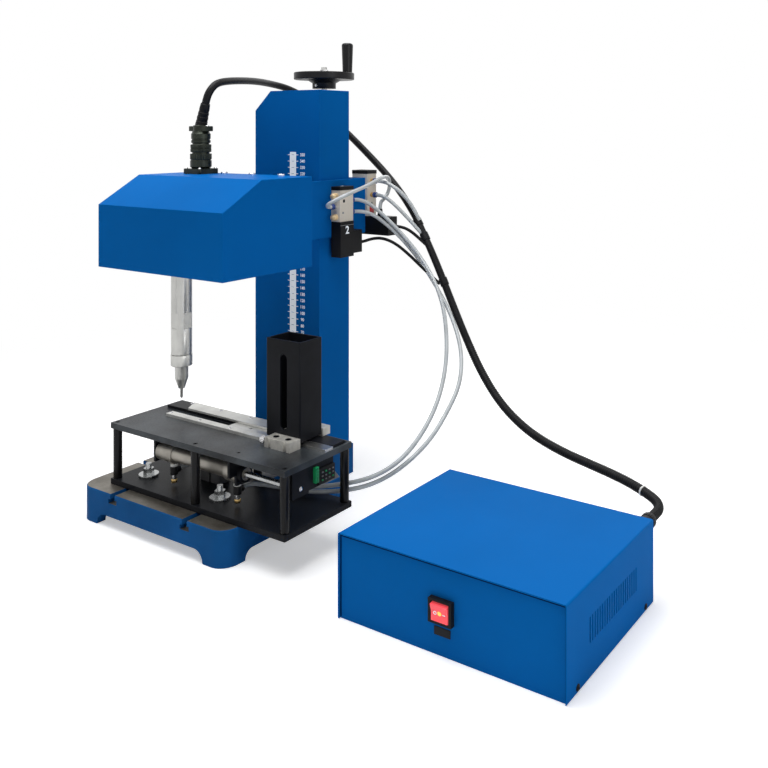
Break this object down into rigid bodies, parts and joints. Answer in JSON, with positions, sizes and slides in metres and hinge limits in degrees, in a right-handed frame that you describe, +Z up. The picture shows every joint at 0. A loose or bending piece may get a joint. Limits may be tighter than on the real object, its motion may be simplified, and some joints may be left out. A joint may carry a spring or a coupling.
{
  "type": "nameplate marking machine",
  "caption": "Bench machine that marks metal nameplates: a handwheel raises its hooded stylus head on a column above a plate feed table, and a cable joins it to a control box.",
  "frame": {"origin": "on the floor, under the middle of the whole machine with its control box", "axes": "+X to the right as seen from the front, towards the control box; +Y to the back; +Z up"},
  "size_m": [0.7854, 0.44, 0.7025],
  "materials": {
    "blue_paint": "satin, slightly textured",
    "ground_steel": "ground",
    "bright_steel": "polished",
    "turned_aluminium": "turned",
    "black_anodised": "anodised, matt",
    "black_paint": "satin",
    "red_lens": "glossy",
    "black_plastic": "matt",
    "black_gloss": "glossy",
    "cream_plastic": "satin",
    "olive_connector": "satin",
    "blue_fitting": "satin",
    "clear_tube": "clear",
    "cable_jacket": "matt",
    "green_plastic": "satin",
    "grey_plastic": "satin",
    "board_green": "satin",
    "blank_plate": "brushed",
    "spring_steel": "bright"
  },
  "bodies": {
    "root": {"base_casting": "blue_paint", "column": "blue_paint", "linear_rails": "ground_steel", "screw_bearings": "ground_steel", "table_bottom_plate": "black_anodised", "table_top_plate": "black_anodised", "table_posts": "black_anodised", "machine_screws": "bright_steel", "hold_down_bolts": "bright_steel", "back_guide_bar": "black_anodised", "guide_strips": "ground_steel", "magazine_tower": "black_anodised", "magazine_clamps": "turned_aluminium", "feed_cylinder": "turned_aluminium", "cylinder_feet": "black_anodised", "speed_controllers": "black_plastic", "stop_block": "grey_plastic", "terminal_bracket": "black_anodised", "terminal_connectors": "green_plastic", "box_cover": "blue_paint", "box_chassis": "blue_paint", "control_board": "board_green", "switch_bezel": "black_plastic", "cable_gland": "black_plastic", "head_cable": "cable_jacket", "feed_tube_high": "clear_tube", "feed_tube_low": "clear_tube"},
    "carriage": {"carriage_bracket": "blue_paint", "rail_blocks": "ground_steel", "lead_nut": "turned_aluminium", "head_hood": "blue_paint", "head_screws": "bright_steel", "stage_frame": "turned_aluminium", "x_rods": "bright_steel", "x_motor": "black_anodised", "connector_receptacle": "turned_aluminium", "connector_plug": "olive_connector", "valve_bodies": "cream_plastic", "valve_coils": "black_plastic", "valve_fittings": "blue_fitting", "valve_lines": "clear_tube"},
    "wheel": {"lead_screw": "bright_steel", "handwheel": "black_paint"},
    "crank": {"crank_handle": "black_gloss"},
    "x_drive": {"x_screw": "bright_steel"},
    "gantry": {"gantry_blocks": "turned_aluminium", "y_rods": "bright_steel", "y_motor": "black_anodised"},
    "y_drive": {"y_screw": "bright_steel"},
    "stylus": {"stylus_holder": "turned_aluminium", "stylus_body": "turned_aluminium", "stylus_nose": "ground_steel", "pin_spring": "spring_steel"},
    "pin": {"marking_pin": "bright_steel"},
    "feed": {"piston_rod": "bright_steel", "drive_bracket": "black_anodised", "shuttle_plate": "ground_steel"},
    "rocker": {"power_rocker": "red_lens"},
    "front_button": {"front_override": "grey_plastic"},
    "rear_button": {"rear_override": "grey_plastic"}
  },
  "joints": [
    {"name": "head_height", "type": "slide", "parent": "root", "child": "carriage", "axis": [0, 0, 1], "range_m": [-0.014, 0.115], "deforming": ["head_cable", "feed_tube_high", "feed_tube_low"]},
    {"name": "handwheel_turn", "type": "hinge", "parent": "root", "child": "wheel", "pos_m": [-0.24275, 0.15428, 0.647], "axis": [0, 0, 1], "range_deg": [-1100, 8400]},
    {"name": "crank_spin", "type": "hinge", "parent": "wheel", "child": "crank", "pos_m": [-0.20986, 0.17523, 0.678], "axis": [0, 0, 1], "continuous": true},
    {"name": "stage_x", "type": "slide", "parent": "carriage", "child": "gantry", "axis": [1, 0, 0], "range_m": [0, 0.13]},
    {"name": "x_screw_turn", "type": "hinge", "parent": "carriage", "child": "x_drive", "pos_m": [-0.24275, -0.06672, 0.461], "axis": [1, 0, 0], "range_deg": [-30, 5900]},
    {"name": "stage_y", "type": "slide", "parent": "gantry", "child": "stylus", "axis": [0, 1, 0], "range_m": [-0.044, 0.016]},
    {"name": "y_screw_turn", "type": "hinge", "parent": "gantry", "child": "y_drive", "pos_m": [-0.30275, -0.10372, 0.45], "axis": [0, 1, 0], "range_deg": [-2010, 750]},
    {"name": "pin_stroke", "type": "slide", "parent": "stylus", "child": "pin", "axis": [0, 0, 1], "range_m": [-0.004, 0], "stiffness_N_per_m": 400, "springref_m": 0.005, "deforming": ["pin_spring"]},
    {"name": "feed_stroke", "type": "slide", "parent": "root", "child": "feed", "axis": [1, 0, 0], "range_m": [-0.088, 0]},
    {"name": "power_rocker_tilt", "type": "hinge", "parent": "root", "child": "rocker", "pos_m": [0.24275, -0.19572, 0.049], "axis": [-1, 0, 0], "range_deg": [0, 14]},
    {"name": "front_override_press", "type": "slide", "parent": "carriage", "child": "front_button", "axis": [-1, 0, 0], "range_m": [0, 0.0007], "stiffness_N_per_m": 200, "springref_m": -0.001},
    {"name": "rear_override_press", "type": "slide", "parent": "carriage", "child": "rear_button", "axis": [-1, 0, 0], "range_m": [0, 0.0007], "stiffness_N_per_m": 200, "springref_m": -0.001}
  ],
  "couplings": [
    {"joint": "handwheel_turn", "follows": "head_height", "rad_per_m": 1256.6},
    {"joint": "x_screw_turn", "follows": "stage_x", "rad_per_m": 785.4},
    {"joint": "y_screw_turn", "follows": "stage_y", "rad_per_m": 785.4}
  ]
}
